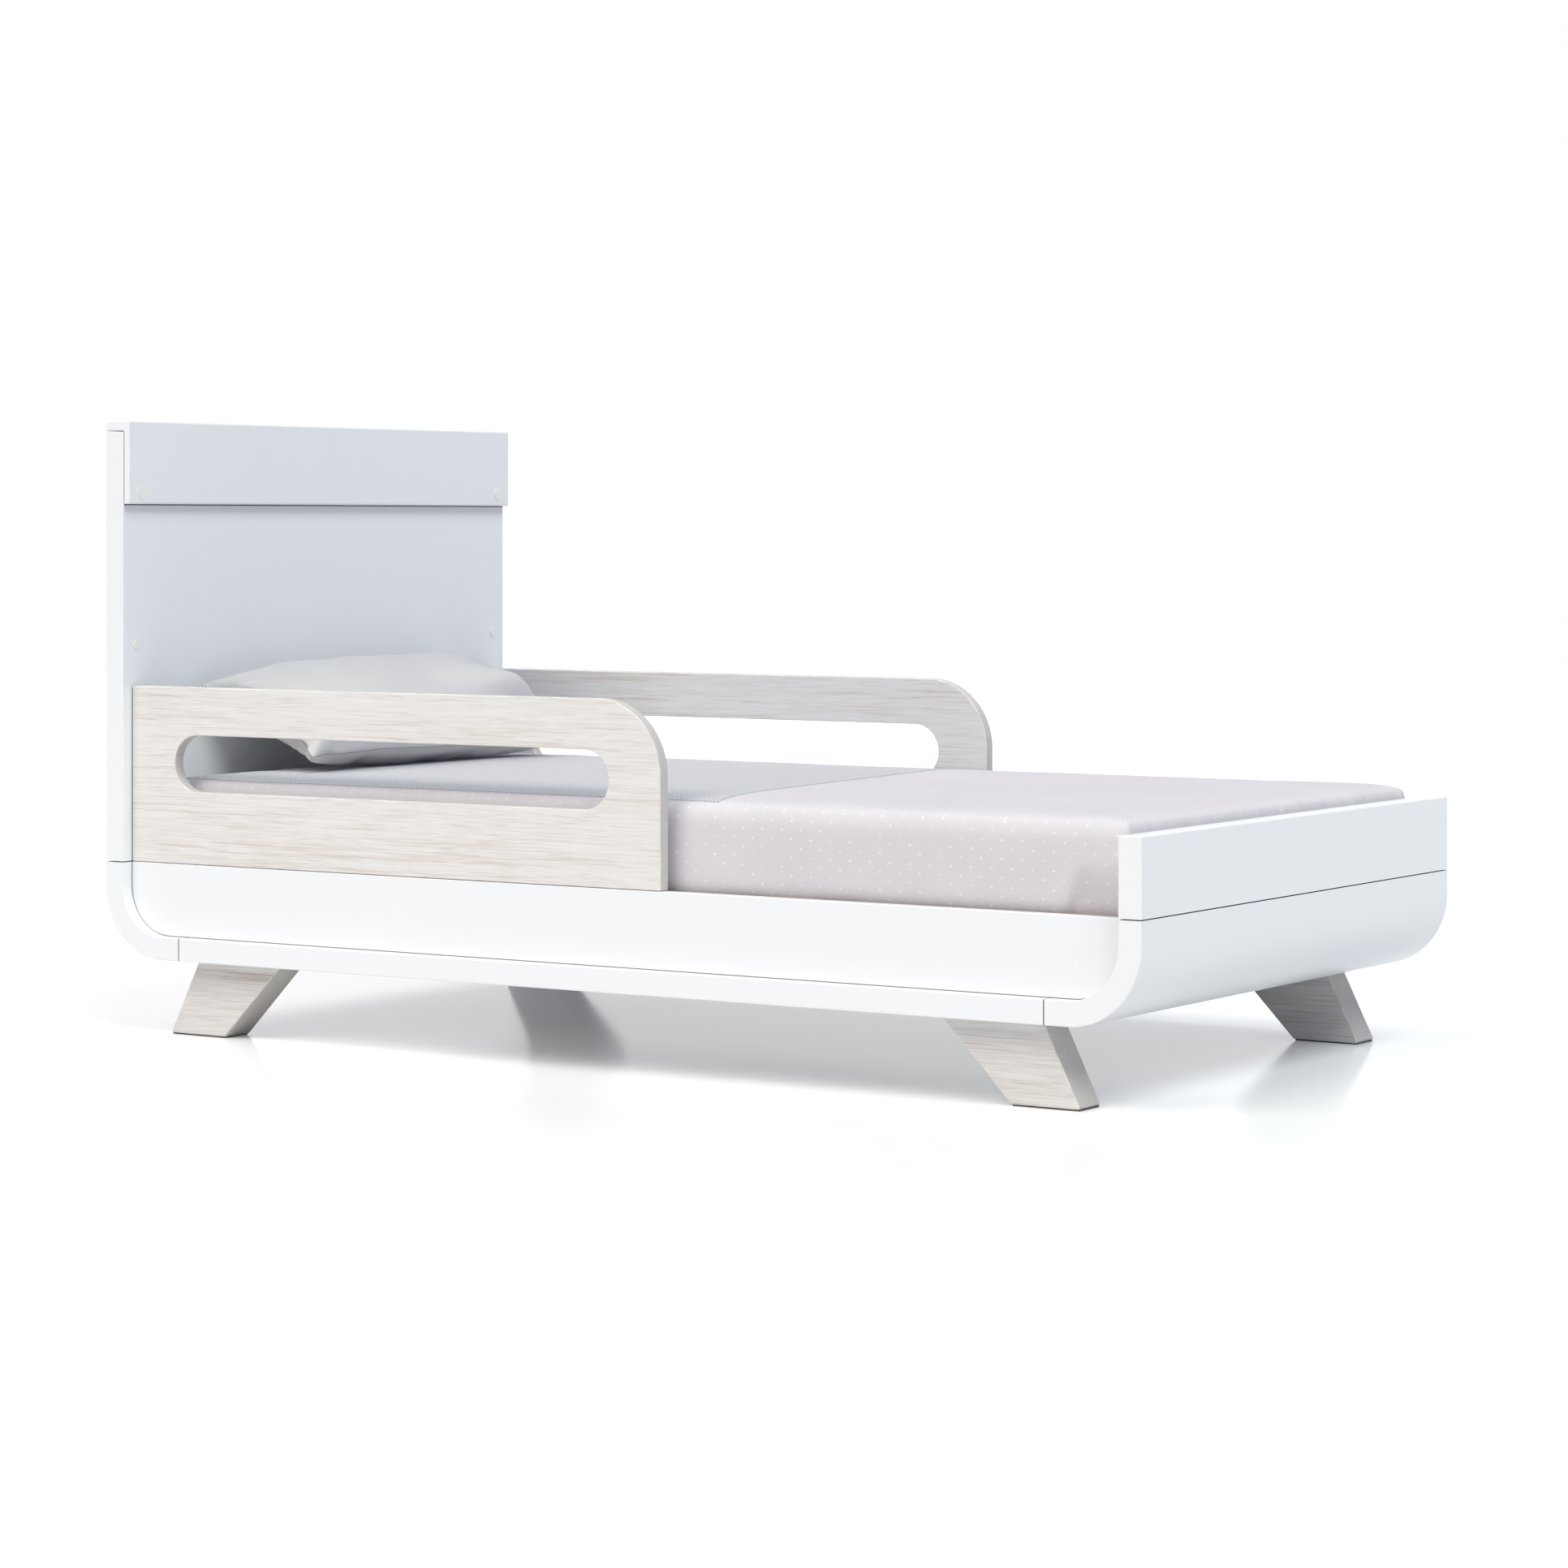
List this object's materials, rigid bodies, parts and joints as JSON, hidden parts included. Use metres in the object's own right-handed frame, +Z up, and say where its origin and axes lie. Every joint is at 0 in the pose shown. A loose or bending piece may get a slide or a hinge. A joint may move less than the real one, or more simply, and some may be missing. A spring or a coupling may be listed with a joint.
{
  "type": "toddler bed",
  "caption": "Low child's bed with a curved white shell, tall capped headboard, slotted wooden guard rails at the head end, splayed wooden legs, slatted base, mattress and pillow.",
  "frame": {"origin": "centre of the footprint, on the floor under the leg glides", "axes": "+X from the headboard to the footboard, +Y to the bed's left side, +Z up"},
  "size_m": [1.4, 0.757, 0.7304],
  "materials": {
    "white_lacquer": "white satin lacquer on wood board",
    "whitewashed_wood": "whitewashed open-grain wood, matt",
    "cover_plastic": "matt moulded plastic",
    "beech": "bare fluted beech",
    "pine": "bare planed pine",
    "zinc": "die-cast zinc",
    "brass": "turned brass",
    "felt": "dark pressed felt",
    "steel": "zinc-plated steel",
    "mattress_fabric": "light grey cotton with small pale crosses",
    "pillow_fabric": "plain light grey cotton"
  },
  "bodies": {
    "frame": {"floor_panel": "white_lacquer", "head_corner_bend": "white_lacquer", "foot_corner_bend": "white_lacquer", "headboard_panel": "white_lacquer", "footboard_panel": "white_lacquer", "headboard_cap": "white_lacquer", "cap_screws": "steel", "cap_screw_covers": "cover_plastic", "headboard_plugs": "cover_plastic", "side_panel_left": "white_lacquer", "side_panel_right": "white_lacquer", "side_panel_dowels": "beech", "side_panel_screws": "steel", "head_joint_dowels": "beech", "foot_joint_dowels": "beech", "head_cam_bolts": "steel", "foot_cam_bolts": "steel", "head_cam_locks": "zinc", "foot_cam_locks": "zinc", "guard_rail_pins": "steel", "leg_head_left": "whitewashed_wood", "leg_head_right": "whitewashed_wood", "leg_foot_left": "whitewashed_wood", "leg_foot_right": "whitewashed_wood", "leg_glides": "felt", "leg_bolts": "steel", "leg_washers": "steel", "leg_inserts": "brass", "support_cleat_left": "pine", "support_cleat_right": "pine", "cleat_screws": "steel"},
    "guard_rail_left": {"guard_rail_left": "whitewashed_wood"},
    "guard_rail_right": {"guard_rail_right": "whitewashed_wood"},
    "slatted_base": {"base_rail_left": "pine", "base_rail_right": "pine", "slat_screws": "steel", "slat_01": "pine", "slat_02": "pine", "slat_03": "pine", "slat_04": "pine", "slat_05": "pine", "slat_06": "pine", "slat_07": "pine", "slat_08": "pine", "slat_09": "pine", "slat_10": "pine", "slat_11": "pine"},
    "mattress": {"mattress": "mattress_fabric"},
    "pillow": {"pillow": "pillow_fabric"}
  },
  "joints": [
    {"name": "guard_rail_left_lift", "type": "slide", "parent": "frame", "child": "guard_rail_left", "axis": [0, 0, 1], "range_m": [0, 0.035]},
    {"name": "guard_rail_right_lift", "type": "slide", "parent": "frame", "child": "guard_rail_right", "axis": [0, 0, 1], "range_m": [0, 0.035]},
    {"name": "base_lift", "type": "slide", "parent": "frame", "child": "slatted_base", "axis": [0, 0, 1], "range_m": [0, 0.25]},
    {"name": "mattress_lift", "type": "slide", "parent": "slatted_base", "child": "mattress", "axis": [0, 0, 1], "range_m": [0, 0.25]},
    {"name": "pillow_lift", "type": "slide", "parent": "mattress", "child": "pillow", "axis": [0, 0, 1], "range_m": [0, 0.2]}
  ]
}
